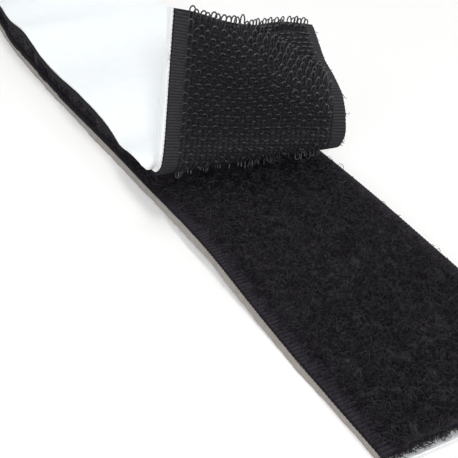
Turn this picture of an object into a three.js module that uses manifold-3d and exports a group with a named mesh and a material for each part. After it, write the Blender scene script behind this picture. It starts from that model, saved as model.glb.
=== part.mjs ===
// Self-adhesive hook and loop tape. A loop strip lies flat with its pile up. The hook strip is
// pressed onto it and peeled up at the near end, and the rest of the pair is wound into a small
// roll without a core. Millimetres, +Z up, X across the tape, +Y along it towards the roll.
// The origin is on the underside, at the middle of the flat run.
import * as THREE from "three";
import { mergeVertices } from "three/addons/utils/BufferGeometryUtils.js";
import Module from "manifold-3d";

const wasm = await Module();
wasm.setup();

// Tape, across and along
const TAPE_WIDTH = 25;
const SELVEDGE = 2.1; // plain woven margin beside the hooks and the pile
const TAPE_LENGTH = 500; // loop strip, near cut end to the end inside the roll
const FLAT_LENGTH = 140; // near cut end to the start of the roll
const BARE_LENGTH = 54; // loop strip that the peeled flap has left bare
const FLAP_LENGTH = 26.8; // hook strip, peel line to its own cut end
const LINER_OVERHANG = 1; // release paper past the near cut end of the loop strip

// Thickness of each layer
const LINER = 0.2; // siliconed release paper
const ADHESIVE = 0.6;
const GROUND = 0.45; // woven ground of either strip
const PILE_MAT = 0.6; // dense foot of the loop pile
const BOND_GAP = 0.05;

// Hooks: cut monofilament, leaning over across the tape, every other column the other way
const HOOK_HEIGHT = 1.5;
const HOOK_WIRE = 0.28;
const HOOK_CURL = 0.36; // radius of the bend
const HOOK_ROOT = 0.2; // length held in the ground
const HOOK_SWEEP = 200; // degrees from the stem to the cut tip
const HOOK_STEPS = 3; // facets in the bend
const COLUMN_PITCH = 1.48;
const ROW_PITCH = 1.36;
const HOOK_CLEARANCE = 0.1; // hook tips over the pile mat when the flap is pressed down

// Flap: it leaves the pile in a tight curl, and its right corner rolls back across a diagonal.
// Each fold line is placed by its distance from the peel line, along the left and right edges.
const CURL_FOLDS = 3;
const CURL_LEFT = 2.6;
const CURL_RIGHT = 6.4;
const CURL_STEP = 2;
const CURL_TURN = 33; // degrees at each fold
const CORNER_FOLDS = 3;
const CORNER_LEFT = 26;
const CORNER_RIGHT = 11.8;
const CORNER_STEP = 2;
const CORNER_TURN = 19; // degrees at each fold
const OVER_PEEL = 1.25; // share of the turn that the folds can reach when pulled further back
const FOLD_CLEARANCE = 0.1;

// Roll
const EYE_RADIUS = 10;
const TURN_CLEARANCE = 0.45; // between one turn of the pair and the next
const STEPS_A_TURN = 18; // facets in a turn of the spiral

// Heights of the layers in the flat pair
const above = (layer, thickness) => ({
  low: layer.high + BOND_GAP,
  high: layer.high + BOND_GAP + thickness,
});
const loopLiner = { low: 0, high: LINER };
const loopAdhesive = above(loopLiner, ADHESIVE);
const loopGround = above(loopAdhesive, GROUND);
const loopPile = above(loopGround, PILE_MAT - BOND_GAP);
const hookTips = loopPile.high + HOOK_CLEARANCE;
const hookGround = {
  low: hookTips + HOOK_HEIGHT,
  high: hookTips + HOOK_HEIGHT + GROUND,
};
const hookAdhesive = above(hookGround, ADHESIVE);
const hookLiner = above(hookAdhesive, LINER);
const matedPile = {
  low: loopGround.high + BOND_GAP,
  high: hookGround.low - BOND_GAP,
};
const pairHeight = hookLiner.high;
const neutral = (hookGround.low + hookGround.high) / 2; // the fold lines lie in this plane

const halfWidth = TAPE_WIDTH / 2;
const fieldWidth = TAPE_WIDTH - 2 * SELVEDGE;
const nearEnd = -FLAT_LENGTH / 2;
const rollStart = FLAT_LENGTH / 2;
const peelLine = nearEnd + BARE_LENGTH;

const paint = (color, roughness) =>
  new THREE.MeshStandardMaterial({ color, roughness, metalness: 0 });
const paper = () => paint(0xf3f5f6, 0.55);
const glue = () => paint(0xd9d7d2, 0.5);
const weave = () => paint(0x2d2c30, 0.85);
const fluff = () => paint(0x212023, 0.95);

function add(group, name, geometry, material) {
  const mesh = new THREE.Mesh(geometry, material);
  mesh.name = name;
  group.add(mesh);
  return mesh;
}

// A box of tape between two places along Y.
function slab(layer, width, from, to) {
  const box = new THREE.BoxGeometry(width, to - from, layer.high - layer.low);
  box.translate(0, (from + to) / 2, (layer.low + layer.high) / 2);
  return box;
}

// The wound pair: a spiral that starts at the floor and turns up and back over the flat run.
const pitch = pairHeight + TURN_CLEARANCE;
const innerRadius = EYE_RADIUS + pairHeight;
const woundLength = TAPE_LENGTH - FLAT_LENGTH;
const outerRadius = Math.sqrt(innerRadius ** 2 + (woundLength * pitch) / Math.PI);
const turns = (outerRadius - innerRadius) / pitch;
const spiralSteps = Math.round(turns * STEPS_A_TURN);
const firstAngle = BOND_GAP / outerRadius;

function spiralPoint(x, height, angle) {
  const radius = outerRadius - (pitch * angle) / (2 * Math.PI) - height;
  const y = rollStart + radius * Math.sin(angle);
  const z = outerRadius - radius * Math.cos(angle);
  return new THREE.Vector3(x, y, z);
}

const spiralAngle = (step) =>
  step === 0 ? firstAngle : (2 * Math.PI * step) / STEPS_A_TURN;

function wound(layer, width) {
  const rings = [];
  for (let step = 0; step <= spiralSteps; step++) {
    const angle = spiralAngle(step);
    rings.push([
      spiralPoint(-width / 2, layer.low, angle),
      spiralPoint(-width / 2, layer.high, angle),
      spiralPoint(width / 2, layer.high, angle),
      spiralPoint(width / 2, layer.low, angle),
    ]);
  }
  return skin(rings);
}

// A closed skin over rings of points that turn anticlockwise about the way they advance.
function skin(rings) {
  const sides = rings[0].length;
  const positions = rings.flat().flatMap((point) => point.toArray());
  const index = [];
  for (let ring = 0; ring < rings.length - 1; ring++) {
    for (let side = 0; side < sides; side++) {
      const a = ring * sides + side;
      const b = ring * sides + ((side + 1) % sides);
      index.push(a, b, b + sides, a, b + sides, a + sides);
    }
  }
  const last = (rings.length - 1) * sides;
  for (let side = 1; side < sides - 1; side++) {
    index.push(0, side + 1, side);
    index.push(last, last + side, last + side + 1);
  }
  const geometry = new THREE.BufferGeometry();
  geometry.setAttribute("position", new THREE.Float32BufferAttribute(positions, 3));
  geometry.setIndex(index);
  return geometry;
}

function toSolid(geometry) {
  const bare = new THREE.BufferGeometry();
  bare.setAttribute("position", geometry.getAttribute("position"));
  bare.setIndex(geometry.getIndex());
  const merged = mergeVertices(bare, 1e-5);
  return new wasm.Manifold(
    new wasm.Mesh({
      numProp: 3,
      vertProperties: new Float32Array(merged.getAttribute("position").array),
      triVerts: new Uint32Array(merged.getIndex().array),
    }),
  );
}

function toGeometry(solid) {
  const mesh = solid.getMesh();
  const geometry = new THREE.BufferGeometry();
  geometry.setAttribute("position", new THREE.BufferAttribute(mesh.vertProperties, 3));
  geometry.setIndex(new THREE.BufferAttribute(mesh.triVerts, 1));
  return geometry;
}

// Fold lines of the flap in the flat tape, from the left edge to the right edge.
function fold(left, right, turn) {
  const start = new THREE.Vector2(-halfWidth, peelLine - left);
  const end = new THREE.Vector2(halfWidth, peelLine - right);
  const along = end.clone().sub(start).normalize();
  const onward = new THREE.Vector2(along.y, -along.x); // across the line, to the cut end
  return { start, along, onward, turn };
}

const folds = [];
for (let i = 0; i < CURL_FOLDS; i++) {
  const shift = i * CURL_STEP;
  folds.push(fold(CURL_LEFT + shift, CURL_RIGHT + shift, CURL_TURN));
}
for (let i = 0; i < CORNER_FOLDS; i++) {
  const shift = i * CORNER_STEP;
  folds.push(fold(CORNER_LEFT + shift, CORNER_RIGHT + shift, CORNER_TURN));
}

const past = (line, point) => line.onward.dot(point.clone().sub(line.start));

// Keeps the part of a convex outline that lies at least a set distance past a line,
// or, with a side of -1, at least that distance before it.
function trim(outline, line, side, distance) {
  const depth = (point) => side * past(line, point) - distance;
  const kept = [];
  outline.forEach((point, i) => {
    const next = outline[(i + 1) % outline.length];
    const here = depth(point);
    const there = depth(next);
    if (here >= 0) kept.push(point);
    if (here * there < 0) kept.push(point.clone().lerp(next, here / (here - there)));
  });
  return kept;
}

// How far a layer stops short of a fold, so that its two sides stay clear when it closes up.
function setback(layer, line) {
  const depth = layer.high - neutral;
  const bend = THREE.MathUtils.degToRad((line.turn * OVER_PEEL) / 2);
  return depth * Math.tan(bend) + FOLD_CLEARANCE;
}

// Outline of one layer of a panel. Panel 0 is the flat part before the first fold.
function panelOutline(panel, layer) {
  const from = peelLine - FLAP_LENGTH;
  let outline = [
    new THREE.Vector2(-halfWidth, from),
    new THREE.Vector2(halfWidth, from),
    new THREE.Vector2(halfWidth, rollStart),
    new THREE.Vector2(-halfWidth, rollStart),
  ];
  const before = folds[panel - 1];
  const after = folds[panel];
  if (before) outline = trim(outline, before, 1, setback(layer, before));
  if (after) outline = trim(outline, after, -1, setback(layer, after));
  return outline;
}

function plate(outline, layer) {
  const depth = layer.high - layer.low;
  const made = new THREE.ExtrudeGeometry(new THREE.Shape(outline), {
    depth,
    bevelEnabled: false,
  });
  made.translate(0, 0, layer.low);
  return made;
}

// One hook, hanging from the underside of the hook ground of the flat tape.
function hook(x, y, sense) {
  const stem = HOOK_HEIGHT - HOOK_WIRE / 2 - HOOK_CURL;
  const path = [new THREE.Vector3(x, y, hookGround.low + HOOK_ROOT)];
  for (let step = 0; step <= HOOK_STEPS; step++) {
    const angle = THREE.MathUtils.degToRad(180 - (HOOK_SWEEP * step) / HOOK_STEPS);
    const reach = HOOK_CURL * (1 + Math.cos(angle));
    const height = stem + HOOK_CURL * Math.sin(angle);
    path.push(new THREE.Vector3(x + sense * reach, y, hookGround.low - height));
  }
  const across = new THREE.Vector3(0, 1, 0);
  const rings = path.map((point, i) => {
    const ahead = path[Math.min(i + 1, path.length - 1)];
    const behind = path[Math.max(i - 1, 0)];
    const tangent = ahead.clone().sub(behind).normalize();
    const normal = across.clone().cross(tangent);
    return [90, 210, 330].map((degrees) => {
      const angle = THREE.MathUtils.degToRad(degrees);
      const ring = point.clone();
      ring.addScaledVector(normal, (HOOK_WIRE / 2) * Math.cos(angle));
      ring.addScaledVector(across, (HOOK_WIRE / 2) * Math.sin(angle));
      return ring;
    });
  });
  return skin(rings);
}

// Hooks of one panel: columns along the tape, every other one shifted by half a row.
function hooksOn(panel) {
  const made = [];
  const columns = Math.floor(fieldWidth / COLUMN_PITCH) + 1;
  const rows = Math.floor(FLAP_LENGTH / ROW_PITCH);
  const before = folds[panel - 1];
  const after = folds[panel];
  for (let column = 0; column < columns; column++) {
    const odd = column % 2;
    const sense = odd ? -1 : 1;
    const x = (column - (columns - 1) / 2) * COLUMN_PITCH - sense * HOOK_CURL;
    for (let row = 0; row < rows; row++) {
      const y = peelLine - FLAP_LENGTH + (row + 0.6 + odd / 2) * ROW_PITCH;
      const foot = new THREE.Vector2(x, y);
      const room = HOOK_WIRE + setback(hookGround, before);
      if (past(before, foot) < room) continue;
      if (after && past(after, foot) > -room) continue;
      made.push(hook(x, y, sense));
    }
  }
  return made;
}

const part = new THREE.Group();
part.name = "hook_and_loop_tape";

// Loop strip, lying flat
add(
  part,
  "loop_liner",
  slab(loopLiner, TAPE_WIDTH, nearEnd - LINER_OVERHANG, rollStart),
  paper(),
);
add(part, "loop_adhesive", slab(loopAdhesive, TAPE_WIDTH, nearEnd, rollStart), glue());
add(part, "loop_ground", slab(loopGround, TAPE_WIDTH, nearEnd, rollStart), weave());
add(part, "loop_pile", slab(loopPile, fieldWidth, nearEnd, peelLine - BOND_GAP), fluff());
add(part, "mated_pile", slab(matedPile, fieldWidth, peelLine, rollStart), fluff());

// Hook strip, pressed onto it
add(part, "hook_ground", plate(panelOutline(0, hookGround), hookGround), weave());
add(part, "hook_adhesive", plate(panelOutline(0, hookAdhesive), hookAdhesive), glue());
add(part, "hook_liner", plate(panelOutline(0, hookLiner), hookLiner), paper());

// Both strips, wound
const roll = new THREE.Group();
roll.name = "roll";
part.add(roll);
add(roll, "wound_loop_liner", wound(loopLiner, TAPE_WIDTH), paper());
add(roll, "wound_loop_adhesive", wound(loopAdhesive, TAPE_WIDTH), glue());
add(roll, "wound_loop_ground", wound(loopGround, TAPE_WIDTH), weave());
add(roll, "wound_pile", wound(matedPile, fieldWidth), fluff());
add(roll, "wound_hook_ground", wound(hookGround, TAPE_WIDTH), weave());
add(roll, "wound_hook_adhesive", wound(hookAdhesive, TAPE_WIDTH), glue());
add(roll, "wound_hook_liner", wound(hookLiner, TAPE_WIDTH), paper());

// Peeled flap: each panel hangs on the one before it and turns about its own fold line.
let holder = part;
folds.forEach((line, i) => {
  const panel = i + 1;
  const pivot = new THREE.Vector3(line.start.x, line.start.y, neutral);
  const axis = new THREE.Vector3(-line.along.x, -line.along.y, 0);
  const group = new THREE.Group();
  group.name = `flap_${panel}`;
  group.quaternion.setFromAxisAngle(axis, THREE.MathUtils.degToRad(line.turn));
  group.position.copy(pivot).sub(pivot.clone().applyQuaternion(group.quaternion));
  group.userData = { pivot, axis, turn: line.turn };
  holder.add(group);
  holder = group;

  let ground = plate(panelOutline(panel, hookGround), hookGround);
  if (panel >= CURL_FOLDS) {
    const pieces = [ground, ...hooksOn(panel)].map(toSolid);
    ground = toGeometry(wasm.Manifold.union(pieces));
  }
  add(group, `flap_${panel}_ground`, ground, weave());
  const adhesive = plate(panelOutline(panel, hookAdhesive), hookAdhesive);
  add(group, `flap_${panel}_adhesive`, adhesive, glue());
  const liner = plate(panelOutline(panel, hookLiner), hookLiner);
  add(group, `flap_${panel}_liner`, liner, paper());
});

// Least gap between one turn of the wound pair and the next, measured on points of its faces.
let leastGap = Infinity;
for (let step = STEPS_A_TURN; step <= spiralSteps; step++) {
  const inner = spiralPoint(0, loopLiner.low, spiralAngle(step));
  for (let near = step - STEPS_A_TURN - 2; near <= step - STEPS_A_TURN + 2; near++) {
    if (near < 0) continue;
    const outer = spiralPoint(0, hookLiner.high, spiralAngle(near));
    leastGap = Math.min(leastGap, inner.distanceTo(outer));
  }
}
console.log(`roll: ${turns.toFixed(2)} turns, least gap to itself ${leastGap.toFixed(2)} mm`);

export default part;
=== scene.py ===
# Self-adhesive hook and loop tape: a loop strip lies on a white table with its pile up, and the hook
# strip on it is peeled back at the near end. The far end of the pair is wound into a roll. Lengths are
# millimetres until a mesh is made.
import math

import bpy
import numpy as np
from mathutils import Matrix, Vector


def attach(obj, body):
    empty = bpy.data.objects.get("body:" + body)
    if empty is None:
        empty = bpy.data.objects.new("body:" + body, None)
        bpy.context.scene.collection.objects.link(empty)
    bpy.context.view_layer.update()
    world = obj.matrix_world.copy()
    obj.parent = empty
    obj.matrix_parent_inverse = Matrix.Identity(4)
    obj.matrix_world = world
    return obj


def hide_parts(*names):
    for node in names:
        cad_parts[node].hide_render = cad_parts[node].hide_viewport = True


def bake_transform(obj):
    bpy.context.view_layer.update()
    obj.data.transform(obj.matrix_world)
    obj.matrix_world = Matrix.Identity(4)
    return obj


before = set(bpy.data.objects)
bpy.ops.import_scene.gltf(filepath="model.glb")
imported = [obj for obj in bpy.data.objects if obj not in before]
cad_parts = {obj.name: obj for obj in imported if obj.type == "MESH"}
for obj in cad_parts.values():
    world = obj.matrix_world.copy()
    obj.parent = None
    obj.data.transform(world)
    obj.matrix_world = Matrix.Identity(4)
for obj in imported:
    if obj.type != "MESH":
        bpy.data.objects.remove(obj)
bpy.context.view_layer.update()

MM = 0.001
SHARP_EDGE = 60  # degrees between two faces, from which their edge isn't shaded smooth

# Tape: X across, Y along it towards the roll, Z up from the table
HALF_WIDTH = 12.5
FIELD = 10.4  # half width of the hooks or the pile, between the plain selvedges
NEAR_END = -70.0
PEEL_LINE = -16.0
FLAP_END = -42.8
ROLL_START = 70.0
TAPE_END = 430.0  # along the tape, inside the roll
CLOTH_SEAM = PEEL_LINE + 4  # between the two pieces of the loop strip's cloth
PAPER_OVERHANG = 0.7  # paper of the loop strip past its near end
PAPER_INSET = 0.45  # paper of the loop strip, from the edges of the tape
PAPER_MARGIN = 0.95  # paper of the hook strip past its left edge, at the curl

# Heights of the layers in the flat pair
LOOP_PAPER = (0.0, 0.2)
LOOP_GLUE = (0.2, 0.9)
LOOP_CLOTH = (0.9, 1.35)
PILE_BED = 1.75
HOOK_CLOTH = (3.55, 4.0)
HOOK_GLUE = (4.0, 4.7)
HOOK_PAPER = (4.7, 4.9)
NEUTRAL = 3.775  # the fold lines of the flap lie in this plane

# Roll
EYE_RADIUS = 10.0
ROLL_PITCH = 5.35  # one turn of the pair and the space to the next
ROLL_STEP = 0.9  # between rows of points in the roll
ROLL_RADIUS = math.sqrt(
    (EYE_RADIUS + HOOK_PAPER[1]) ** 2 + (TAPE_END - ROLL_START) * ROLL_PITCH / math.pi
)

# Weave
WARP = 0.33  # warp yarns of the selvedge, as coarse as they show
WEFT = 0.55  # wefts of the ground
HOOK_RIB = 0.4  # weft ribs on the selvedge of the hook strip
LOOP_RIB = 0.58  # weft ribs on the selvedge of the loop strip
EDGE_ROUND = 0.2  # depth of a cloth's rounded edge
EDGE_SCALLOP = 0.03  # how far a woven edge swings in and out at every weft

# Hooks
HOOK_COLUMN = 1.42  # spacing across the tape
HOOK_ROW = 0.75  # spacing along the tape
HOOK_HEIGHT = 1.2
HOOK_WIRE = 0.19  # diameter
HOOK_BEND = 0.36  # radius
HOOK_SWEEP = (175, 225)  # degrees of the bend, least and most
HOOK_LEAN = -1.15  # along the tape for each millimetre down, so towards the cut end
HOOK_SLANT = -0.3  # across the tape for each millimetre down
UNCUT_HOOKS = 0.12  # share of the hooks that are whole arches
BROKEN_HOOKS = 0.04  # share of the hooks that are broken off short

# Pile and loose fibres
PILE_FIBRE = 0.075  # diameter
PILE_LOOPS = 21500
PILE_BANDS = 5  # pieces that the loops are shared out to, along the tape
PILE_EDGE = 1.5  # how far the last loops lie out over the selvedge
END_THREADS = 400
SIDE_HAIRS = 60
FLAP_HAIRS = 30
RUN_FUZZ = 3000
ROLL_FUZZ = 2800

# Folds of the flap: distance from the peel line along the left and right edges, degrees, and half the
# width of the bend at the left and right edges
FOLD_TABLE = (
    (2.6, 6.4, 33, 2.5, 1.4),
    (4.6, 8.4, 33, 2.5, 1.4),
    (6.6, 10.4, 33, 2.5, 1.4),
    (26.0, 11.8, 19, 2.6, 1.3),
    (28.0, 13.8, 19, 2.6, 1.3),
    (30.0, 15.8, 19, 2.6, 1.3),
)
CURL_FOLD = 1  # the middle one of the three across the curl
CORNER_FOLD = 4  # the middle one of the three across the corner
# Seams between the pieces of the flap, placed in the same way. The last one lies past the cut end.
SEAMS = ((1.4, 5.2), (3.6, 7.4), (5.6, 9.4), (16.3, 11.1), (27.0, 12.8), (29.0, 14.8), (60.0, 60.0))
SEAM_BAND = 3.0  # rows this near to the peel line are spread out to meet the first seam

# Studio, in metres and degrees
TABLE_SIZE = 12.0
TABLE_GLOW = 0.13  # strength, only as the camera sees it
SKY_LIGHT = 0.4  # strength, where the sky isn't seen but lights
LAMP_TARGET = (0.0, -0.02, 0.0)
CAMERA_PLACE = (-0.0585, -0.1236, 0.0766)
CAMERA_TILT = 54.76
CAMERA_TURN = -28.55
CAMERA_LENS = 82.64  # millimetres, for the width of the sensor
CAMERA_SENSOR = 36.0


# Shapes


def smooth(t):
    """Eases from 0 to 1: 3 t squared less 2 t cubed, with t held between 0 and 1."""
    t = np.clip(t, 0.0, 1.0)
    return t * t * (3 - 2 * t)


def bell(t, middle, reach):
    """Bell curve: e to the power of minus the square of the distance from the middle, in reaches."""
    return np.exp(-(((t - middle) / reach) ** 2))


def mottle(u, v, seed):
    """Soft unevenness: random heights on a unit lattice, eased from one lattice point to the next."""
    points = 64
    table = np.random.default_rng(seed).uniform(-1, 1, (points, points))
    i, j = np.floor(u).astype(int), np.floor(v).astype(int)
    a, b = smooth(u - i), smooth(v - j)
    i, j, next_i, next_j = i % points, j % points, (i + 1) % points, (j + 1) % points
    near = table[i, j] * (1 - a) + table[next_i, j] * a
    far = table[i, next_j] * (1 - a) + table[next_i, next_j] * a
    return near * (1 - b) + far * b


def wander(s, seed, size):
    """Unevenness of a cut edge: the sum of five sine waves of random phase, 2 to 25 mm long."""
    rng = np.random.default_rng(seed)
    total = np.zeros_like(np.asarray(s, float))
    for length in (2.1, 4.3, 7.9, 14.0, 25.0):
        total += np.sin(2 * np.pi * s / length + rng.uniform(0, 2 * np.pi)) * length**0.5
    return size * total / 8


def steps(start, end, pitch):
    """Evenly spaced places from start to end, at most one pitch apart."""
    return np.linspace(start, end, max(2, int(math.ceil(abs(end - start) / pitch)) + 1))


def tape_columns(edge, fine, coarse):
    """Places across the tape, as a row: fine spacing for the width edge along each side, with more
    places at the very edge, and coarse spacing in the middle."""
    inner = HALF_WIDTH - edge
    rim = HALF_WIDTH - np.array((0.0, 0.03, 0.09))
    side = np.concatenate((rim, steps(HALF_WIDTH - 0.2, inner, fine)))
    middle = steps(-inner, inner, coarse)[1:-1]
    return np.concatenate((-side, middle, side[::-1]))[None, :]


def run_places(start, pitch):
    """Places along the tape, as a column, from start to its end in the roll: pitch apart in the flat,
    and wider in the roll."""
    flat, rolled = steps(start, ROLL_START, pitch), steps(ROLL_START, TAPE_END, ROLL_STEP)
    return np.concatenate((flat, rolled[1:]))[:, None]


def seam_y(index, x):
    """Place along the tape of one seam of the flap, at x, no further out than the cut end."""
    left, right = SEAMS[index]
    along = PEEL_LINE - left - (right - left) * (x + HALF_WIDTH) / (2 * HALF_WIDTH)
    return np.maximum(along, FLAP_END)


def run_from_seam(x, pitch):
    """As run_places, from the first seam of the flap: the rows near the peel line are spread evenly
    between the seam, at x, and the last of them."""
    s = run_places(PEEL_LINE - SEAM_BAND, pitch)
    front, back = seam_y(0, x), PEEL_LINE + SEAM_BAND
    share = (s - PEEL_LINE + SEAM_BAND) / (2 * SEAM_BAND)
    return np.where(s < back, front + share * (back - front), s)


def lift(x, y):
    """How far the loop strip stands off the table: a bell curve along it, before the peel line, higher
    on the left edge than on the right, that eases out at the near end."""
    return (0.72 - 0.034 * x) * bell(y, PEEL_LINE - 15, 13) * smooth((y - NEAR_END + 2) / 12)


def buckle(x, y):
    """How far the hook strip stands off the loop strip: five bell curves along the mated run, and a
    pull at the peel line that eases in over 10 mm. Both are strongest on the left edge."""
    past = y - PEEL_LINE
    bells = ((0.35, 52, 6), (1.1, 43.5, 5), (-0.3, 31, 5), (0.35, 21, 6), (-0.45, 8.5, 4.5))
    rise = sum(size * bell(past, middle, reach) for size, middle, reach in bells)
    return rise * (0.6 - 0.03 * x) + (0.4 - 0.05 * x) * smooth((8 - past) / 10)


def drift(s, angle):
    """How far the tape strays to the right: by a sine of the angle in the roll, which eases in over
    3 radians, a little to the left near the cut end, and more to the left along the mated run."""
    rolled = 0.45 * np.sin(1.3 * angle) * smooth(angle / 3)
    near = 0.18 * smooth((NEAR_END + 35 - s) / 30)
    mated = 0.85 * smooth((s - PEEL_LINE - 2) / 36) * smooth((ROLL_START - 24 - s) / 12)
    return rolled - near - mated


def lie(points, loose=0.0):
    """Flat tape (x, s, height) to its place. Up to the roll it keeps its y and rises with the tape.
    Past that it follows the spiral whose radius shrinks by one pitch a turn, where the angle comes
    from the arc length, and the height counts inwards. With loose at 1, what lies higher takes on
    more of the hook strip's buckles and less of the loop strip's bump."""
    x, s, height = points.T
    wound = np.clip(s - ROLL_START, 0, None)
    root = np.sqrt(ROLL_RADIUS**2 - wound * ROLL_PITCH / np.pi)
    angle = (ROLL_RADIUS - root) * 2 * np.pi / ROLL_PITCH
    follow = loose * np.clip((height - LOOP_CLOTH[1]) / (HOOK_CLOTH[0] - LOOP_CLOTH[1]), 0, 1)
    rise = height + lift(x, s) * (1 - follow) + follow * buckle(x, s)
    radius = root - rise
    y = np.where(wound > 0, ROLL_START + radius * np.sin(angle), s)
    return np.column_stack((x + drift(s, angle), y, ROLL_RADIUS - radius * np.cos(angle)))


def fold_line(left, right):
    """Start, direction and onward normal of a line drawn across the tape."""
    start = np.array((-HALF_WIDTH, PEEL_LINE - left))
    run = np.array((2 * HALF_WIDTH, left - right))
    run = run / np.linalg.norm(run)
    return start, run, np.array((run[1], -run[0]))


def past_fold(places, index):
    """How far flat places lie past one fold line of the flap, square to it."""
    start, _, onward = fold_line(*FOLD_TABLE[index][:2])
    return (places - start) @ onward


def turn_about(points, pivot, axis, angle):
    """Turns each point by its own angle about one axis, by the axis and angle formula."""
    arm = points - pivot
    cos, sin = np.cos(angle)[:, None], np.sin(angle)[:, None]
    along = (arm @ axis)[:, None] * axis
    return pivot + arm * cos + np.cross(axis, arm) * sin + along * (1 - cos)


def shrink(x, y):
    """How far the flap draws in along its length: a bell curve across it, from nothing at the curl to
    its most at the cut end."""
    most = 0.2 - 0.03 * x + 2.1 * bell(x, -2.8, 7)
    return most * smooth((PEEL_LINE - 8 - y) / 19)


def pucker(x, y):
    """How far the sides of the flap draw in across the tape. On the right: a bell curve along it at the
    curl, a shorter one at the crease of the corner, and a stretch outwards at the corner itself. On
    the left: evenly, past the curl."""
    peeled = PEEL_LINE - y
    bells = 0.28 * bell(peeled, 14, 4) + 0.5 * bell(peeled, 21.2, 1.9)
    right = (bells - 0.4 * smooth((peeled - 23.5) / 3)) * smooth((x - 2) / 10)
    return right - 0.18 * smooth((peeled - 6) / 4) * smooth((-2 - x) / 10)


def peel(points):
    """Flat hook strip to the peeled flap: each fold, from the cut end inwards, turns what lies past
    its line. The turn eases in over a narrow band on both sides of the line."""
    bent = points.copy()
    bent[:, 1] += shrink(points[:, 0], points[:, 1])
    flat = bent[:, :2].copy()
    bent[:, 0] -= pucker(points[:, 0], points[:, 1])
    for left, right, degrees, left_band, right_band in reversed(FOLD_TABLE):
        start, run, onward = fold_line(left, right)
        band = left_band + (right_band - left_band) * (flat[:, 0] + HALF_WIDTH) / (2 * HALF_WIDTH)
        share = smooth(((flat - start) @ onward + band) / (2 * band))
        axis = np.array((-run[0], -run[1], 0.0))
        pivot = np.array((*start, NEUTRAL))
        bent = turn_about(bent, pivot, axis, math.radians(degrees) * share)
    bent[:, 2] += buckle(*flat.T)
    return bent


def lie_hook_strip(points):
    """As lie, for the hook strip: it buckles, doesn't follow the bump in the loop strip, and starts to
    bend where it nears the flap."""
    near = (points[:, 1] < PEEL_LINE + 4) & (points[:, 2] >= HOOK_CLOTH[0] - 0.1)
    placed = lie(points, loose=1.0)
    placed[near] = peel(points[near])
    return placed


def weave(x, s, rib):
    """Selvedge: weft ribs side by side, each a round ridge by a cosine of the place along the tape,
    pinched a little by the warp yarns that bind it, by a cosine of the place across."""
    return 0.05 * np.cos(2 * np.pi * s / rib) + 0.015 * np.cos(2 * np.pi * x / WARP) - 0.065


def stitched(x, s):
    """Ground between the hooks: a round ridge along every column of hook legs and across it at every
    weft, each a cosine."""
    ridges = 0.07 * np.cos(4 * np.pi * x / HOOK_COLUMN)
    return ridges + 0.05 * np.cos(2 * np.pi * s / WEFT) - 0.08


def scallop(s):
    """How far a woven edge stands out: a cosine with one wave for every weft."""
    return EDGE_SCALLOP * np.cos(2 * np.pi * s / WEFT)


def scalloped(x, s):
    """Places across the tape, moved with the scallops of the woven edge, which fade out within
    0.4 mm."""
    return x + scallop(s) * smooth((np.abs(x) - HALF_WIDTH + 0.4) / 0.4) * np.sign(x)


def rounded(x, low, high):
    """Bottom and top of a cloth whose two long edges are rounded: within one depth of an edge the
    thickness falls off as a quarter ellipse to a third."""
    inward = np.clip((HALF_WIDTH - np.abs(x)) / EDGE_ROUND, 0, 1)
    share = 0.35 + 0.65 * np.sqrt(1 - (1 - inward) ** 2)
    middle, thick = (low + high) / 2, (high - low) / 2
    return middle - thick * share, middle + thick * share


def drooped(x, height, depth):
    """Face of a cloth whose selvedge sags over the edge of the film next to it: within 0.13 mm of the
    edge it drops by depth, or rises where depth is negative."""
    return height - depth * smooth((np.abs(x) - HALF_WIDTH + 0.13) / 0.04)


def margin_height(x, height, share):
    """Height of the hook strip's paper: its margin past the left edge turns a little towards the
    hooks."""
    return height - 0.3 * share * smooth((-HALF_WIDTH - 0.02 - x) / 0.25)


def slab(x, s, low, high):
    """Closed sheet over a grid: the points (x, s) at the height high, the same points at the height
    low, and a wall round the rim. Returns flat points (x, s, height) and quads."""
    x, s, low, high = np.broadcast_arrays(x, s, low, high)
    rows, columns = x.shape
    count = rows * columns
    points = np.concatenate([np.stack((x, s, h), -1).reshape(-1, 3) for h in (high, low)])
    at = np.arange(count).reshape(rows, columns)
    top = np.stack((at[:-1, :-1], at[:-1, 1:], at[1:, 1:], at[1:, :-1]), -1).reshape(-1, 4)
    rim = np.concatenate((at[0, :-1], at[:-1, -1], at[-1, :0:-1], at[:0:-1, 0]))
    after = np.roll(rim, -1)
    wall = np.stack((rim + count, after + count, after, rim), -1)
    return points, [np.concatenate((top, top[:, ::-1] + count, wall))]


def wires(paths, across, radius, sides):
    """Round wires: about each path a ring of points at every step, square to the tangent, joined to
    the next ring and capped at both ends. across is a direction out of each path's own plane."""
    tangent = np.gradient(paths, axis=1)
    tangent /= np.linalg.norm(tangent, axis=2, keepdims=True)
    normal = np.cross(tangent, np.broadcast_to(across[:, None, :], paths.shape))
    normal /= np.linalg.norm(normal, axis=2, keepdims=True)
    other = np.cross(tangent, normal)
    angle = np.arange(sides) * 2 * np.pi / sides
    ring = normal[:, :, None] * np.cos(angle)[:, None] + other[:, :, None] * np.sin(angle)[:, None]
    points = (paths[:, :, None] + radius * ring).reshape(-1, 3)
    at = np.arange(len(points)).reshape(*paths.shape[:2], sides)
    turned = np.roll(at, -1, axis=2)
    walls = np.stack((at[:, :-1], turned[:, :-1], turned[:, 1:], at[:, 1:]), -1).reshape(-1, 4)
    return points, [walls, np.concatenate((at[:, 0, ::-1], at[:, -1]))]


def joined(*shapes):
    """Several shapes as one: their points in a row, and their faces renumbered to match."""
    before = np.cumsum([0] + [len(points) for points, _ in shapes])
    faces = [face + shift for (_, group), shift in zip(shapes, before) for face in group]
    return np.concatenate([points for points, _ in shapes]), faces


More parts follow.
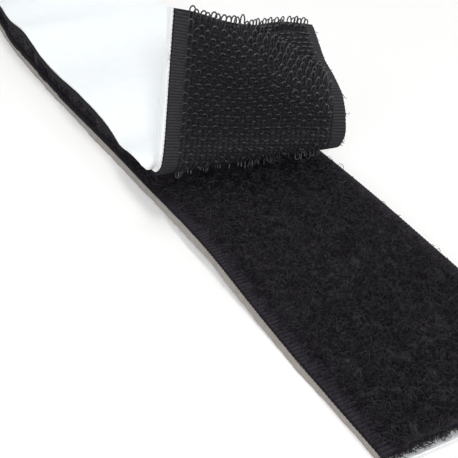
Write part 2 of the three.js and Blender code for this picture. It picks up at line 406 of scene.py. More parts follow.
def hook_wires(feet, sense, seed):
    """Hooks hanging from the underside of the hook cloth: a straight stem, then an arc that sweeps
    past the half circle, and the stub of the leg that was cut. A few are left uncut, as whole arches
    that go back into the cloth, and a few are broken off short. On the flap they lean to the cut end.
    At the curl most are pulled straight, and just past it they stand more upright. On the folded
    corner they are lower and lean back, but less so along the cut."""
    rng = np.random.default_rng(seed)
    count = len(feet)
    # Where each hook stands, as shares: past the curl, just past it, and on the folded corner
    curl = past_fold(feet, CURL_FOLD)
    loose = smooth((curl - 0.5) / 3)
    upright = 1 - smooth((curl - 2) / 4)
    drawn = feet + np.outer(shrink(*feet.T), (0, 1))
    corner = smooth((past_fold(drawn, CORNER_FOLD) - 0.5) / 4)
    corner = corner * (0.35 + 0.65 * smooth((feet[:, 1] - FLAP_END - 0.8) / 1.2))

    # What each hook is like
    height = HOOK_HEIGHT * rng.normal(1, 0.05, count) * (1 - 0.25 * corner)
    height = height * (1 - rng.uniform(0, 0.5, count) * (1 - loose))
    bend = HOOK_BEND * rng.normal(1, 0.06, count) * (1 - 0.3 * upright * loose)
    sweep = np.radians(rng.uniform(*HOOK_SWEEP, count)) * (0.15 + 0.85 * loose)
    kind = rng.uniform(size=count)
    uncut = kind < UNCUT_HOOKS + 0.5 * (1 - loose) * smooth(feet[:, 0] / 6)
    broken = (kind > 1 - BROKEN_HOOKS)[:, None]
    sweep = np.where(uncut, math.pi, sweep)

    # Paths of the hooks and the stubs, sideways and down from the foot
    stem = height - bend - HOOK_WIRE / 2
    angle = np.pi - sweep[:, None] * np.linspace(0, 1, 7)
    reach = bend[:, None] * (1 + np.cos(angle))
    drop = stem[:, None] + bend[:, None] * np.sin(angle)
    root = np.full((count, 1), -0.2)
    tail = np.where(uncut, -0.1, drop[:, -1] - 0.02)[:, None]
    reach = np.concatenate((np.zeros((count, 1)), reach, reach[:, -1:]), 1)
    drop = np.concatenate((root, drop, tail), 1)
    reach = np.where(broken, reach * 0.4, reach)
    drop = np.where(broken, drop * 0.55, drop)
    stub = np.concatenate((root, root * 0, (stem * rng.uniform(0.4, 0.9, count))[:, None]), 1)

    # Both lean and slant as they go down
    lean = rng.normal(HOOK_LEAN, 0.08, count) * loose * (1 - 1.35 * corner) * (1 - 0.65 * upright)
    slant = rng.normal(HOOK_SLANT, 0.04, (count, 1))
    twist = rng.normal(0, 0.1, (count, 1))
    along = np.tile((0.0, 1.0, 0.0), (count, 1))
    whole = np.ones(count, bool)
    cut = ~uncut & (loose > 0.3)
    made = []
    for away, down, kept in ((reach, drop, whole), (2 * bend[:, None] + stub * 0, stub, cut)):
        x = feet[:, :1] + sense[:, None] * away + slant * down
        s = feet[:, 1:] + lean[:, None] * down + twist * away
        paths = np.stack((x, s, HOOK_CLOTH[0] - down), -1)
        made.append(wires(paths[kept], along[kept], HOOK_WIRE / 2, sides=5))
    return joined(*made)


def loop_wires(feet, base, height, span, seed, tilt=0.35):
    """Pile loops: each leaves the bed, climbs and comes back a short way off. Height follows a half
    sine, made a little blunter by a power, and a whole sine bows the loop sideways. Every loop lies
    over in a direction of its own."""
    rng = np.random.default_rng(seed)
    count = len(feet)
    heading = rng.uniform(0, 2 * np.pi, count)
    go = np.column_stack((np.cos(heading), np.sin(heading)))
    aside = np.column_stack((-go[:, 1], go[:, 0]))
    t = np.linspace(0, 1, 6)
    tall = (height * rng.beta(2.2, 2.6, count) * 2)[:, None]
    reach = (span * rng.uniform(0.4, 1.6, count))[:, None]
    bow = reach * rng.normal(0, 0.35, (count, 1))
    over = tall * rng.normal(0, tilt, (count, 1))
    up = np.sin(np.pi * t) ** 0.8
    along = reach * (t - 0.5) * (1 + 0.5 * up)
    sway = bow * np.sin(2 * np.pi * t + rng.uniform(0, 6.3, (count, 1))) + over * up
    xy = feet[:, None, :] + along[:, :, None] * go[:, None] + sway[:, :, None] * aside[:, None]
    rise = np.asarray(base)[:, None] - 0.1 + tall * up
    paths = np.concatenate((xy, rise[:, :, None]), 2)
    across = np.column_stack((aside, np.zeros(count)))
    return wires(paths, across, PILE_FIBRE / 2, sides=3)


# Materials


def colour(code):
    """sRGB hex to linear red, green, blue and alpha."""
    part = np.array([int(code[i : i + 2], 16) for i in (1, 3, 5)]) / 255
    part = np.where(part <= 0.04045, part / 12.92, ((part + 0.055) / 1.055) ** 2.4)
    return (*part.tolist(), 1.0)


def node(tree, kind, inputs=None, **settings):
    """Adds a node, sets its properties, and fills its inputs with values or links."""
    made = tree.nodes.new(kind)
    for name, value in settings.items():
        setattr(made, name, value)
    for name, value in (inputs or {}).items():
        if isinstance(value, bpy.types.NodeSocket):
            tree.links.new(value, made.inputs[name])
        else:
            made.inputs[name].default_value = value
    return made


def begin(name):
    """An empty material and its node tree."""
    made = bpy.data.materials.new(name)
    made.use_nodes = True
    made.node_tree.nodes.clear()
    return made, made.node_tree


def release_paper():
    """Bleached paper calendered with silicone: smooth and faintly blue-white, with a slight cloud of
    fibres about 1.5 mm wide, a tooth of about 0.4 mm and a soft gloss."""
    made, tree = begin("release_paper_siliconed")
    at = node(tree, "ShaderNodeTexCoord").outputs["Object"]
    cloud = node(tree, "ShaderNodeTexNoise", {"Vector": at, "Scale": 1 / (1.5 * MM), "Detail": 4.0})
    tint = node(tree, "ShaderNodeValToRGB", {"Fac": cloud.outputs["Fac"]})
    tint.color_ramp.elements[0].color = colour("#eff6fa")
    tint.color_ramp.elements[1].color = colour("#fafcfd")
    tooth = node(tree, "ShaderNodeTexNoise", {"Vector": at, "Scale": 1 / (0.4 * MM), "Detail": 3.0})
    bump = node(
        tree,
        "ShaderNodeBump",
        {"Height": tooth.outputs["Fac"], "Strength": 0.15, "Distance": 0.05 * MM},
    )
    shader = node(
        tree,
        "ShaderNodeBsdfPrincipled",
        {
            "Base Color": tint.outputs["Color"],
            "Normal": bump.outputs["Normal"],
            "Roughness": 0.42,
            "IOR": 1.45,
        },
    )
    node(tree, "ShaderNodeOutputMaterial", {"Surface": shader.outputs["BSDF"]})
    return made


def acrylic_glue(name, dark, light):
    """Coated acrylic adhesive: a milky film with a damp gloss, and small blisters and pulls about
    0.8 mm long. It is drawn from the colour dark to the colour light. White is the film's own colour;
    the warm grey copy is painted shade, for the shadow along the loop strip's edges and near end."""
    made, tree = begin(name)
    at = node(tree, "ShaderNodeTexCoord").outputs["Object"]
    pulls = node(tree, "ShaderNodeTexNoise", {"Vector": at, "Scale": 1 / (0.8 * MM), "Detail": 5.0})
    tint = node(tree, "ShaderNodeValToRGB", {"Fac": pulls.outputs["Fac"]})
    tint.color_ramp.elements[0].color = colour(dark)
    tint.color_ramp.elements[1].color = colour(light)
    bump = node(
        tree,
        "ShaderNodeBump",
        {"Height": pulls.outputs["Fac"], "Strength": 0.4, "Distance": 0.1 * MM},
    )
    shader = node(
        tree,
        "ShaderNodeBsdfPrincipled",
        {
            "Base Color": tint.outputs["Color"],
            "Normal": bump.outputs["Normal"],
            "Roughness": 0.35,
            "IOR": 1.47,
        },
    )
    node(tree, "ShaderNodeOutputMaterial", {"Surface": shader.outputs["BSDF"]})
    return made


def woven_nylon(name, dark, light, field, relief, rib):
    """Black dyed nylon woven as a plain ground: dull, with filaments about 0.12 mm apart on each yarn
    and yarns that differ a little in shade. Real filaments are finer; these are as coarse as show.
    The selvedge has weft ribs, with painted highlights on their tops, painted shade in the grooves and a
    little more where a warp yarn binds them, and painted shade darkens its turned edge. The field between
    has a lighter stitch for each hook leg with painted shade between them, and its brightness is the
    share field of the selvedge's: painted shade of the hooks or pile over it. The share relief of the
    shade comes from this painted weave, and the rest from the yarns."""
    made, tree = begin(name)
    at = node(tree, "ShaderNodeAttribute", attribute_name="tape").outputs["Vector"]
    # Patches of shade about 0.5 mm across the tape and 0.35 mm along it
    yarn = node(
        tree, "ShaderNodeMapping", {"Vector": at, "Scale": (0.7 / WARP, 1.6 / WEFT, 1.0)}
    ).outputs["Vector"]
    shade = node(tree, "ShaderNodeTexNoise", {"Vector": yarn, "Scale": 1.0, "Detail": 3.0})
    # At the scale 1 a wave repeats every pi / 10
    ribs, warps, wefts, legs = (
        node(
            tree,
            "ShaderNodeTexWave",
            {
                "Vector": at,
                "Scale": math.pi / 10 / period,
                "Phase Offset": math.pi,
                "Distortion": 0.6,
                "Detail Scale": 2.0,
            },
            bands_direction=direction,
        ).outputs["Fac"]
        for period, direction in ((rib, "Y"), (WARP, "X"), (WEFT, "Y"), (HOOK_COLUMN / 2, "X"))
    )
    # Tops of ribs and stitches lighter and their grooves darker: painted highlight and painted shade
    bound = node(tree, "ShaderNodeMapRange", {"Value": warps, "To Min": 0.6}).outputs["Result"]
    yarns = node(tree, "ShaderNodeMath", {0: ribs, 1: bound}, operation="MULTIPLY")
    stitches = node(tree, "ShaderNodeMath", {0: wefts, 1: legs}, operation="MULTIPLY")
    x = node(tree, "ShaderNodeSeparateXYZ", {"Vector": at}).outputs["X"]
    x = node(tree, "ShaderNodeMath", {0: x}, operation="ABSOLUTE").outputs[0]
    edge = node(
        tree, "ShaderNodeMapRange", {"Value": x, "From Min": FIELD, "From Max": FIELD + 0.3}
    ).outputs["Result"]
    painted_weave = node(
        tree, "ShaderNodeMix", {"Factor": edge, "A": stitches.outputs[0], "B": yarns.outputs[0]}
    )
    shade = node(
        tree,
        "ShaderNodeMix",
        {"Factor": relief, "A": shade.outputs["Fac"], "B": painted_weave.outputs["Result"]},
    )
    tint = node(tree, "ShaderNodeValToRGB", {"Fac": shade.outputs["Result"]})
    tint.color_ramp.elements[0].color = colour(dark)
    tint.color_ramp.elements[1].color = colour(light)
    # The field darker than the selvedge: painted shade of the hooks or pile over it
    level = node(tree, "ShaderNodeMapRange", {"Value": edge, "To Min": field}).outputs["Result"]
    # Turned edges darker towards the very edge: painted shade
    rim = node(
        tree,
        "ShaderNodeMapRange",
        {
            "Value": x,
            "From Min": HALF_WIDTH - EDGE_ROUND,
            "From Max": HALF_WIDTH,
            "To Min": 1.0,
            "To Max": 0.15,
        },
    ).outputs["Result"]
    level = node(tree, "ShaderNodeMath", {0: level, 1: rim}, operation="MULTIPLY")
    tint = node(
        tree,
        "ShaderNodeVectorMath",
        {"Vector": tint.outputs["Color"], "Scale": level.outputs[0]},
        operation="SCALE",
    )
    filament = node(tree, "ShaderNodeTexNoise", {"Vector": at, "Scale": 1 / 0.12, "Detail": 2.0})
    bump = node(
        tree,
        "ShaderNodeBump",
        {"Height": filament.outputs["Fac"], "Strength": 0.5, "Distance": 0.05 * MM},
    )
    shader = node(
        tree,
        "ShaderNodeBsdfPrincipled",
        {
            "Base Color": tint.outputs["Vector"],
            "Normal": bump.outputs["Normal"],
            "Roughness": 0.7,
            "IOR": 1.53,
            "Specular IOR Level": 0.1,
        },
    )
    node(tree, "ShaderNodeOutputMaterial", {"Surface": shader.outputs["BSDF"]})
    return made


def nylon_wire():
    """Drawn nylon monofilament, dyed black: smooth and slightly glossy, so each bend of a hook holds
    a small highlight. The dye varies a little from hook to hook, over about 2 mm."""
    made, tree = begin("nylon_monofilament_hooks")
    at = node(tree, "ShaderNodeAttribute", attribute_name="tape").outputs["Vector"]
    dye = node(tree, "ShaderNodeTexNoise", {"Vector": at, "Scale": 1 / 2.0, "Detail": 2.0})
    tint = node(tree, "ShaderNodeValToRGB", {"Fac": dye.outputs["Fac"]})
    tint.color_ramp.elements[0].color = colour("#201f22")
    tint.color_ramp.elements[1].color = colour("#353338")
    shader = node(
        tree,
        "ShaderNodeBsdfPrincipled",
        {"Base Color": tint.outputs["Color"], "Roughness": 0.46, "IOR": 1.53},
    )
    node(tree, "ShaderNodeOutputMaterial", {"Surface": shader.outputs["BSDF"]})
    return made


def napped_nylon(name, dark, light, sheen):
    """Textured nylon yarn, napped into loose loops: dull black with a faint sheen, in tufts about
    1.2 mm wide that differ a little in shade. The copy with less sheen and its own tint is painted
    shade, for the mated run's sides between the cloths."""
    made, tree = begin(name)
    at = node(tree, "ShaderNodeAttribute", attribute_name="tape").outputs["Vector"]
    tuft = node(tree, "ShaderNodeTexNoise", {"Vector": at, "Scale": 1 / 1.2, "Detail": 4.0})
    tint = node(tree, "ShaderNodeValToRGB", {"Fac": tuft.outputs["Fac"]})
    tint.color_ramp.elements[0].color = colour(dark)
    tint.color_ramp.elements[1].color = colour(light)
    shader = node(
        tree,
        "ShaderNodeBsdfPrincipled",
        {
            "Base Color": tint.outputs["Color"],
            "Roughness": 0.6,
            "IOR": 1.53,
            "Specular IOR Level": sheen,
        },
    )
    node(tree, "ShaderNodeOutputMaterial", {"Surface": shader.outputs["BSDF"]})
    return made


PAPER = release_paper()
HOOK_FILM = acrylic_glue("acrylic_adhesive_white", "#eae8e6", "#f2f2f1")
# The same adhesive in a warm grey that is painted shade: the shadow along the loop strip's edges and near
# end
LOOP_FILM = acrylic_glue("acrylic_adhesive_grey", "#857f7a", "#a6a09b")
# One black nylon drawn as two copies: the hook strip's lighter colours are painted light, for its flap
# that faces the lamps, and the loop strip's darker ones painted shade
HOOK_GROUND = woven_nylon(
    "nylon_woven_hook_ground", "#171619", "#4a494d", field=0.75, relief=0.55, rib=HOOK_RIB
)
LOOP_GROUND = woven_nylon(
    "nylon_woven_loop_ground", "#131116", "#353239", field=0.8, relief=0.6, rib=LOOP_RIB
)
WIRE = nylon_wire()
PILE = napped_nylon("nylon_napped_pile", "#141118", "#1d1a21", sheen=0.25)
# The same pile with less sheen and its own tint: painted shade for the mated run's sides between the
# cloths
PILE_PAINTED_SHADE = napped_nylon("nylon_pressed_pile", "#17141b", "#242128", sheen=0.12)


# Pieces


def piece(name, flat, faces, place, material, slot, nodes):
    """A mesh from flat points, carried to their place. The flat points stay as the attribute tape."""
    flat = np.asarray(flat, float)
    mesh = bpy.data.meshes.new(name)
    corners = np.concatenate([f.ravel() for f in faces]).astype(np.int32)
    sizes = np.concatenate([np.full(len(f), f.shape[1]) for f in faces])
    mesh.vertices.add(len(flat))
    mesh.loops.add(len(corners))
    mesh.polygons.add(len(sizes))
    mesh.vertices.foreach_set("co", (place(flat) * MM).astype(np.float32).ravel())
    mesh.loops.foreach_set("vertex_index", corners)
    mesh.polygons.foreach_set("loop_start", (np.cumsum(sizes) - sizes).astype(np.int32))
    mesh.polygons.foreach_set("use_smooth", np.ones(len(sizes), bool))
    tape = mesh.attributes.new("tape", "FLOAT_VECTOR", "POINT")
    tape.data.foreach_set("vector", flat.astype(np.float32).ravel())
    mesh.update(calc_edges=True)
    mesh.validate()
    mesh.set_sharp_from_angle(angle=math.radians(SHARP_EDGE))
    mesh.materials.append(material)
    made = bpy.data.objects.new(name, mesh)
    bpy.context.scene.collection.objects.link(made)
    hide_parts(*nodes)
    return made


def strip_piece(name, shape, place, material, slot, nodes):
    """A piece that lies still, on the strip."""
    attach(piece(name, *shape, place, material, slot, nodes), "strip")


def loop_paper():
    """Release paper of the loop strip: a sheet with wavering sides, whose near end is cut unevenly and
    curls up a little."""
    end = NEAR_END - PAPER_OVERHANG
    s = run_places(end, pitch=0.8)
    x = np.linspace(-1, 1, 9)[None, :] * (HALF_WIDTH - PAPER_INSET + wander(s, seed=11, size=0.06))
    near = np.where(s < end + 0.1, 0.2 * mottle(x / 4, s * 0, seed=3), 0.0)
    curled = 0.35 * smooth((NEAR_END + 0.2 - s) / 0.9)
    return slab(x, s + near, LOOP_PAPER[0] + curled, LOOP_PAPER[1] + curled)


def loop_film():
    """Adhesive of the loop strip, with a bead out along both sides, down over the edge of the paper, less
    towards the near end and not in the roll. The grey bead is painted shade, standing in for the shadow
    beside the strip. Its near end is torn, and drawn back from the cut."""
    # Bead of painted shade: how far out past the side and how high, from its foot inwards
    bead = np.array(((0.3, 0.14), (0.12, 0.45), (0.0, 0.88), (-0.12, 0.9), (-0.3, 0.9)))
    out, top = bead.T
    middle = np.linspace(-HALF_WIDTH + 0.8, HALF_WIDTH - 0.8, 41)
    beside, between = np.ones(len(out)), np.zeros(len(middle))
    side = np.concatenate((-beside, between, beside))[None, :]
    out = np.concatenate((out, middle, out[::-1]))[None, :]
    top = np.concatenate((top, between + LOOP_GLUE[1], top[::-1]))[None, :]
    s = run_places(NEAR_END, pitch=0.5)
    uneven = wander(s, seed=12, size=0.08) + 0.02 * mottle(s / 0.6, s * 0, seed=4)
    # How far the bead of painted shade reaches out: less towards the near end, none in the roll
    shade_bead_reach = smooth((ROLL_START - s) / 8) * (0.3 + 0.7 * smooth((s - NEAR_END) / 30))
    out = np.where((side != 0) & (out > 0), out * shade_bead_reach, out)
    x = np.where(side == 0, out, side * (HALF_WIDTH - 0.06 + uneven + out))
    low = np.where((side != 0) & (out > -0.2), 0.02, LOOP_GLUE[0])
    near = np.where(s < NEAR_END + 0.1, 0.3 * mottle(x / 0.9, x * 0, seed=5) + 0.35, 0.0)
    return slab(x, s + near, low, top)


def bare_loop_cloth():
    """Ground of the loop strip where its pile shows: ribbed along the selvedges, and frayed a little
    at the cut."""
    x = tape_columns(edge=2.4, fine=0.11, coarse=1.6)
    s = steps(NEAR_END, CLOTH_SEAM, 0.11)[:, None]
    low, high = rounded(x, *LOOP_CLOTH)
    plain = smooth((np.abs(x) - FIELD + 0.3) / 0.3) * smooth((HALF_WIDTH - np.abs(x)) / 0.15)
    near = np.where(s < NEAR_END + 0.05, 0.12 * mottle(x / 0.5, x * 0, seed=6), 0.0)
    ribbed = high + weave(x, s, LOOP_RIB) * plain
    return slab(scalloped(x, s), s + near, drooped(x, low, 0.05), ribbed)


def run_loop_cloth():
    """Ground of the loop strip under the hook strip and in the roll. Its selvedge sags further over
    the film there."""
    x = tape_columns(edge=1.0, fine=0.4, coarse=4.0)
    s = run_places(CLOTH_SEAM, pitch=0.14)
    low, high = rounded(x, *LOOP_CLOTH)
    edge = scallop(s) * (np.abs(x) > HALF_WIDTH - 0.4) * (s < ROLL_START)
    sag = 0.05 + 0.35 * smooth((s - PEEL_LINE - 6) / 30)
    return slab(x + edge * np.sign(x), s, drooped(x, low, sag), high)


def pile_bed():
    """Matted foot of the pile: a sheet with three sizes of soft bumps, thinner along its sides, which
    waver."""
    x = steps(-FIELD, FIELD, 0.25)[None, :]
    s = steps(NEAR_END + 0.1, PEEL_LINE - 1, 0.25)[:, None]
    bumps = sum(
        tall * mottle(x / wide, s / wide, seed)
        for tall, wide, seed in ((0.12, 0.5, 7), (0.08, 1.3, 8), (0.05, 4.0, 9))
    )
    inset = smooth((FIELD - np.abs(x)) / 0.8)
    top = LOOP_CLOTH[1] + 0.05 + (PILE_BED - LOOP_CLOTH[1] + bumps) * inset
    return slab(x + 0.25 * mottle(s / 0.7, x * 0, seed=10), s, LOOP_CLOTH[1] - 0.05, top)


def pile_loops(rng, band):
    """Loops of one band of the pile: strewn evenly over the field and more thinly over the selvedges,
    lower at the sides, and taller in some tufts than in others."""
    count = PILE_LOOPS // PILE_BANDS
    length = (PEEL_LINE - NEAR_END) / PILE_BANDS
    x = rng.uniform(-1, 1, count) * (FIELD + PILE_EDGE * rng.uniform(0, 1, count) ** 2)
    s = rng.uniform(NEAR_END + 0.2, NEAR_END + length, count) + band * length
    tuft = 1 + 0.15 * mottle(x / 1.6, s / 1.6, seed=22)
    inset = smooth((FIELD + 0.3 - np.abs(x)) / 0.8)
    base = LOOP_CLOTH[1] + (PILE_BED - 0.15 - LOOP_CLOTH[1]) * inset
    tall = (0.35 + 0.27 * inset) * tuft
    return loop_wires(np.column_stack((x, s)), base, tall, span=0.85, seed=30 + band)


def pulled_fibres():
    """Threads out of the cut end, hairs along the sides, and three long strays beside the curl."""
    rng = np.random.default_rng(25)
    end_x = rng.uniform(-HALF_WIDTH, HALF_WIDTH, END_THREADS)
    ends = np.column_stack((end_x, NEAR_END + rng.uniform(-0.2, 0.2, END_THREADS)))
    side = np.where(rng.uniform(size=SIDE_HAIRS) < 0.6, -1, 1)
    hair_x = side * rng.uniform(HALF_WIDTH - 1.5, HALF_WIDTH - 0.3, SIDE_HAIRS)
    hairs = np.column_stack((hair_x, rng.uniform(NEAR_END, PEEL_LINE - 4, SIDE_HAIRS)))
    strays = np.array(((-0.5, -8.2), (-0.3, -9.0), (-0.9, -7.4))) + (HALF_WIDTH, PEEL_LINE)
    end_base = rng.uniform(LOOP_CLOTH[0] - 0.4, LOOP_CLOTH[1] - 0.05, END_THREADS)
    hair_base, stray_base = (np.full(len(feet), LOOP_CLOTH[1]) for feet in (hairs, strays))
    return joined(
        loop_wires(ends, end_base, height=0.3, span=0.6, seed=26, tilt=0.9),
        loop_wires(hairs, hair_base, height=0.4, span=1.2, seed=27, tilt=0.8),
        loop_wires(strays, stray_base, height=1.1, span=1.5, seed=28, tilt=0.5),
    )


def mated_mat():
    """Hooks and pile pressed into each other between the two cloths: a sheet as high as the space
    there, with ragged sides, as wide as the field at the peel line and nearly as the tape past it."""
    u = np.linspace(-1, 1, 21)[None, :]
    s = run_from_seam(u * FIELD, pitch=0.3)
    spread = smooth((s - PEEL_LINE - 2) / 8)
    half = FIELD + (HALF_WIDTH - 0.6 - FIELD) * spread
    ragged = 0.35 * mottle(s / 0.6, s * 0, seed=13) + 0.3 * mottle(s / 2.2, s * 0, seed=14)
    x = u * (half + ragged * (1 - 0.6 * spread))
    return slab(x, s, LOOP_CLOTH[1] - 0.05, HOOK_CLOTH[0] + 0.1)


def mated_fuzz(rng, start, end, count, seed):
    """Fibres that stick out along both sides of the mated run."""
    side = np.where(rng.uniform(size=count) < 0.5, -1, 1)
    x = side * rng.uniform(HALF_WIDTH - 1.2, HALF_WIDTH - 0.5, count)
    feet = np.column_stack((x, rng.uniform(start, end, count)))
    base = rng.uniform(LOOP_CLOTH[1] + 0.05, HOOK_CLOTH[0] - 0.25, count)
    return loop_wires(feet, base, height=0.25, span=1.0, seed=seed, tilt=1.2)


def run_hook_cloth():
    """Ground of the hook strip over the mated run and in the roll. Its selvedge sags over the film."""
    x = tape_columns(edge=1.0, fine=0.4, coarse=2.0)
    s = run_from_seam(x, pitch=0.18)
    low, high = rounded(x, *HOOK_CLOTH)
    high = drooped(x, high, -0.6 * smooth((s - PEEL_LINE - 1) / 8))
    half = HALF_WIDTH + scallop(s) * (s < ROLL_START)
    return slab(x / HALF_WIDTH * half, s, low, high)


def run_hook_sheet(layer, inset, pitch, margin, seed):
    """Film or paper of the hook strip over the mated run and in the roll: a sheet with wavering sides.
    A margin past the left edge eases in towards the peel line and turns a little to the hooks."""
    u = tape_columns(edge=1.0, fine=0.4, coarse=2.0) / HALF_WIDTH
    s = run_from_seam(u * HALF_WIDTH, pitch)
    past = s - PEEL_LINE
    half = HALF_WIDTH - inset + wander(s, seed, size=0.06)
    half = half + margin * (u < 0) * smooth((12 - past) / 8)
    turned = smooth((3 - past) / 3)
    low, high = (margin_height(u * half, h, turned) for h in layer)
    return slab(u * half, s, low, high)


def flap_grid(index, pitch, margin=()):
    """Grid of flat places between two seams of the flap: x across, and straight lines from the outer
    seam to the inner one. Where a seam runs off the cut end, the grid starts past that point.
    Elsewhere it has more columns past the left edge, at the distances in margin."""
    places = steps(-HALF_WIDTH, HALF_WIDTH, 0.01)
    begin_x = places[np.argmax(seam_y(index, places) > FLAP_END + 0.02)]
    columns = steps(begin_x, HALF_WIDTH, pitch)
    if begin_x == -HALF_WIDTH:
        columns = np.concatenate((begin_x - np.array(margin), columns))
    x = columns[None, :]
    inner, outer = seam_y(index, x), seam_y(index + 1, x)
    share = steps(0, float(np.max(inner - outer)), pitch)[:, None]
    return x, outer + (inner - outer) * share / share[-1]


def flap_cloth(index):
    """Hook cloth between two seams of the flap: ribbed along the selvedges and stitched between."""
    x, s = flap_grid(index, pitch=0.115)
    low, high = rounded(x, *HOOK_CLOTH)
    inside = smooth((FIELD - np.abs(x)) / 0.3)
    relief = weave(x, s, HOOK_RIB) * (1 - inside) + stitched(x, s) * inside
    relief = relief * smooth((HALF_WIDTH - np.abs(x)) / 0.15)
    return slab(scalloped(x, s), s, low - relief, high)


def flap_sheet(index, layer, inset, margin, seed):
    """Film or paper between two seams of the flap: a sheet with wavering sides and a nick in the left
    one. A margin past the left edge gets narrower towards the cut end."""
    x, s = flap_grid(index, 0.35, margin)
    half = HALF_WIDTH - inset + wander(s, seed, size=0.05)
    peeled = PEEL_LINE - s
    nick = 0.45 * bell(peeled, 20.4, 0.35) * (x < -HALF_WIDTH + 0.5)
    narrower = 0.45 * np.minimum(x + HALF_WIDTH, 0) * smooth((peeled - 4) / 22)
    low, high = (margin_height(x, h, 1.0) for h in layer)
    return slab(x / HALF_WIDTH * half + nick - narrower, s, low, high)


def hook_feet(rng):
    """Places of the hooks on the flat flap, and the side to which each one bends. The rows are
    staggered by half a column and bend left and right in turn. The row at the cut is doubled, every
    foot is a little off its place, and the hooks thin out at the curl."""
    columns = math.floor(2 * FIELD / HOOK_COLUMN) + 1
    rows = math.floor((PEEL_LINE - FLAP_END) / HOOK_ROW) + 1
    column, row = (a.ravel() for a in np.meshgrid(np.arange(columns), np.arange(rows)))
    sense = np.where(row % 2, -1.0, 1.0)
    x = (column - (columns - 1) / 2 + (row % 2) / 2 - 0.25) * HOOK_COLUMN - sense * HOOK_BEND
    # The first row keeps off the cut, further on the left than on the right
    first = FLAP_END + 0.55 + 0.35 * smooth((2 - x) / 4)
    feet = np.column_stack((x, first + row * HOOK_ROW))
    feet = np.concatenate((feet, feet[row == 0] + (0.5, 0.3)))
    sense = np.concatenate((sense, sense[row == 0]))
    feet = feet + rng.normal(0, 0.04, feet.shape)
    # Hooks before the curl are part of the mated pile, and those past it reach further to the left
    curl = past_fold(feet, CURL_FOLD)
    left, right = -FIELD + 0.2 - 0.8 * smooth(curl / 3), FIELD - 0.3
    kept = (curl > -2.4) & (feet[:, 0] > left) & (feet[:, 0] < right)
    kept = kept & (rng.uniform(size=len(feet)) < 0.6 + 0.4 * smooth(curl / 2))
    return feet[kept], sense[kept]


def between_seams(places, index):
    """Which flat places lie between two seams of the flap."""
    x, s = places.T
    return (s < seam_y(index, x)) & (s >= seam_y(index + 1, x))


def hinge_band(index):
    """Two points on a chord across one fold of the flap, centred on its bent fold line, as far apart
    as the piece's seams allow."""
    x = np.linspace(-HALF_WIDTH, HALF_WIDTH, 26)
    start, run, onward = fold_line(*FOLD_TABLE[index][:2])
    y = start[1] + (x + HALF_WIDTH) * run[1] / run[0]
    x, y = x[y > FLAP_END], y[y > FLAP_END]
    flat = np.column_stack((x, y, np.full_like(x, NEUTRAL)))
    line = peel(flat)
    ahead = flat + np.array((*onward, 0)) * 0.05
    chord = np.mean(peel(ahead) - line, 0)
    chord /= np.linalg.norm(chord)
    centre = np.mean(line, 0)
    reach = []
    for seam, sign in ((index, -1), (index + 1, 1)):
        y = seam_y(seam, x)
        inside = y > FLAP_END + 0.2
        for height in (HOOK_CLOTH[0], HOOK_PAPER[1]):
            if np.any(inside):
                points = np.column_stack((x, y, np.full_like(x, height)))[inside]
                reach.append(np.min(sign * ((peel(points) - centre) @ chord)))
    half = max(0.3, min(reach))
    return (centre - chord * half) * MM, (centre + chord * half) * MM


# Loop strip: paper, glue and cloth over the whole length, and the pile on its bare part
for name, shape, material, slot, nodes in (
    ("loop_release_paper", loop_paper(), PAPER, "release_paper", ("loop_liner", "wound_loop_liner")),
    ("loop_glue_film", loop_film(), LOOP_FILM, "adhesive", ("loop_adhesive", "wound_loop_adhesive")),
    ("loop_cloth_bare", bare_loop_cloth(), LOOP_GROUND, "loop_weave", ("loop_ground",)),
    ("loop_cloth_run", run_loop_cloth(), LOOP_GROUND, "loop_weave", ("loop_ground", "wound_loop_ground")),
    ("pile_bed", pile_bed(), PILE, "loop_pile", ("loop_pile",)),
):
    strip_piece(name, shape, lie, material, slot, nodes)
rng = np.random.default_rng(21)
for band in range(PILE_BANDS):
    loops = pile_loops(rng, band)
    strip_piece(f"pile_loops_{band + 1}", loops, lie, PILE, "loop_pile", ("loop_pile",))
strip_piece("pulled_fibres", pulled_fibres(), lie, PILE, "loop_weave", ("loop_ground",))

# Mated run
mated = (lie_hook_strip, PILE_PAINTED_SHADE, "loop_pile", ("mated_pile", "wound_pile"))
strip_piece("mated_pile_mat", mated_mat(), *mated)
rng = np.random.default_rng(23)
run_fuzz = mated_fuzz(rng, PEEL_LINE - SEAM_BAND, ROLL_START, RUN_FUZZ, seed=24)
strip_piece("mated_pile_fuzz_1", run_fuzz, *mated)
roll_fuzz = mated_fuzz(rng, ROLL_START, TAPE_END, ROLL_FUZZ, seed=25)
strip_piece("mated_pile_fuzz_2", roll_fuzz, *mated)

# Hook strip over the mated run and the roll, up to the first seam of the flap
run_glue = run_hook_sheet(HOOK_GLUE, inset=0.2, pitch=0.5, margin=0.0, seed=41)
run_paper = run_hook_sheet(HOOK_PAPER, inset=0.05, pitch=0.8, margin=PAPER_MARGIN, seed=42)
for name, shape, material, slot, layer in (
    ("hook_cloth_run", run_hook_cloth(), HOOK_GROUND, "hook_weave", "ground"),
    ("hook_glue_run", run_glue, HOOK_FILM, "adhesive", "adhesive"),
    ("hook_release_paper_run", run_paper, PAPER, "release_paper", "liner"),
):
    nodes = (f"hook_{layer}", f"wound_hook_{layer}")
    strip_piece(name, shape, lie_hook_strip, material, slot, nodes)

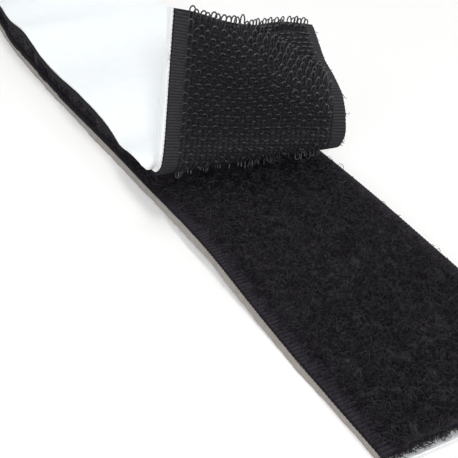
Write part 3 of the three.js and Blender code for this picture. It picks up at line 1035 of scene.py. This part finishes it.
# Flap: one set of pieces for each fold, with a few hairs along its right edge
rng = np.random.default_rng(51)
feet, sense = hook_feet(rng)
hair_x = rng.uniform(HALF_WIDTH - 0.3, HALF_WIDTH, FLAP_HAIRS)
hairs = np.column_stack((hair_x, rng.uniform(FLAP_END + 1, PEEL_LINE - 6, FLAP_HAIRS)))
bodies = ["strip"] + [f"flap_{index + 1}" for index in range(len(FOLD_TABLE))]
for index, (inner, outer) in enumerate(zip(bodies, bodies[1:])):
    here, hairy = between_seams(feet, index), between_seams(hairs, index)
    hair_base = np.full(np.count_nonzero(hairy), NEUTRAL)
    hooks = joined(
        hook_wires(feet[here], sense[here], seed=60 + index),
        loop_wires(hairs[hairy], hair_base, height=0.3, span=0.9, seed=80 + index, tilt=0.9),
    )
    glue = flap_sheet(index, HOOK_GLUE, inset=0.06, margin=(), seed=78)
    paper = flap_sheet(
        index, HOOK_PAPER, inset=0.05, margin=(PAPER_MARGIN, PAPER_MARGIN / 2), seed=83
    )
    start, end = hinge_band(index)
    for layer, shape, material, slot, part in (
        ("cloth", flap_cloth(index), HOOK_GROUND, "hook_weave", "ground"),
        ("hooks", hooks, WIRE, "hook_weave", "ground"),
        ("adhesive", glue, HOOK_FILM, "adhesive", "adhesive"),
        ("liner", paper, PAPER, "release_paper", "liner"),
    ):
        name, nodes = f"fold_{index + 1}_{layer}", (f"{outer}_{part}",)
        made = piece(name, *shape, peel, material, slot, nodes)
        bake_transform(made)


# Table, light and camera


def seen_directly(tree):
    """1 on rays from the camera, also in gloss and through what is clear, and 0 on rays that light."""
    path = node(tree, "ShaderNodeLightPath").outputs
    seen = path["Is Camera Ray"]
    for kind in ("Is Glossy Ray", "Is Transmission Ray"):
        seen = node(tree, "ShaderNodeMath", {0: seen, 1: path[kind]}, operation="MAXIMUM").outputs[0]
    return seen


def white_table():
    """Matt white laminate: evenly pale, with almost no gloss. To the camera it glows a little, as an
    overexposed table does, and still takes the shadow."""
    made, tree = begin("table_white_matt")
    glow = node(tree, "ShaderNodeMath", {0: seen_directly(tree), 1: TABLE_GLOW}, operation="MULTIPLY")
    shader = node(
        tree,
        "ShaderNodeBsdfPrincipled",
        {
            "Base Color": colour("#f2f2f2"),
            "Roughness": 0.9,
            "Specular IOR Level": 0.1,
            "Emission Color": colour("#ffffff"),
            "Emission Strength": glow.outputs[0],
        },
    )
    node(tree, "ShaderNodeOutputMaterial", {"Surface": shader.outputs["BSDF"]})
    return made


def softbox(name, place, size, watts):
    """A square lamp at place, facing the tape."""
    lamp = bpy.data.lights.new(name, "AREA")
    lamp.size, lamp.energy = size, watts
    lamp.color = (1.0, 0.99, 0.98)
    made = bpy.data.objects.new(name, lamp)
    bpy.context.scene.collection.objects.link(made)
    made.location = Vector(place)
    made.rotation_euler = (Vector(LAMP_TARGET) - made.location).to_track_quat("-Z", "Y").to_euler()


bpy.ops.mesh.primitive_plane_add(size=TABLE_SIZE)
floor = bpy.context.object
floor.name = "table_top"
floor.data.materials.append(white_table())

world = bpy.data.worlds.new("studio")
bpy.context.scene.world = world
world.use_nodes = True
tree = world.node_tree
tree.nodes.clear()
light = node(
    tree, "ShaderNodeMapRange", {"Value": seen_directly(tree), "To Min": SKY_LIGHT, "To Max": 1.0}
)
sky = node(
    tree,
    "ShaderNodeBackground",
    {"Color": colour("#ffffff"), "Strength": light.outputs["Result"]},
)
node(tree, "ShaderNodeOutputWorld", {"Surface": sky.outputs["Background"]})

softbox("key_above", (0.07, 0.06, 0.50), size=0.16, watts=0.96)
softbox("fill_left", (-0.38, -0.26, 0.22), size=0.3, watts=0.4)
softbox("front", (-0.15, -0.405, 0.27), size=0.06, watts=0.9)

camera = bpy.data.objects.new("camera", bpy.data.cameras.new("camera"))
bpy.context.scene.collection.objects.link(camera)
camera.location = CAMERA_PLACE
camera.rotation_euler = (math.radians(CAMERA_TILT), 0.0, math.radians(CAMERA_TURN))
camera.data.sensor_width = CAMERA_SENSOR
camera.data.lens = CAMERA_LENS
camera.data.clip_start = 0.005
bpy.context.scene.camera = camera
bpy.context.scene.view_settings.view_transform = "Standard"

bpy.context.view_layer.update()
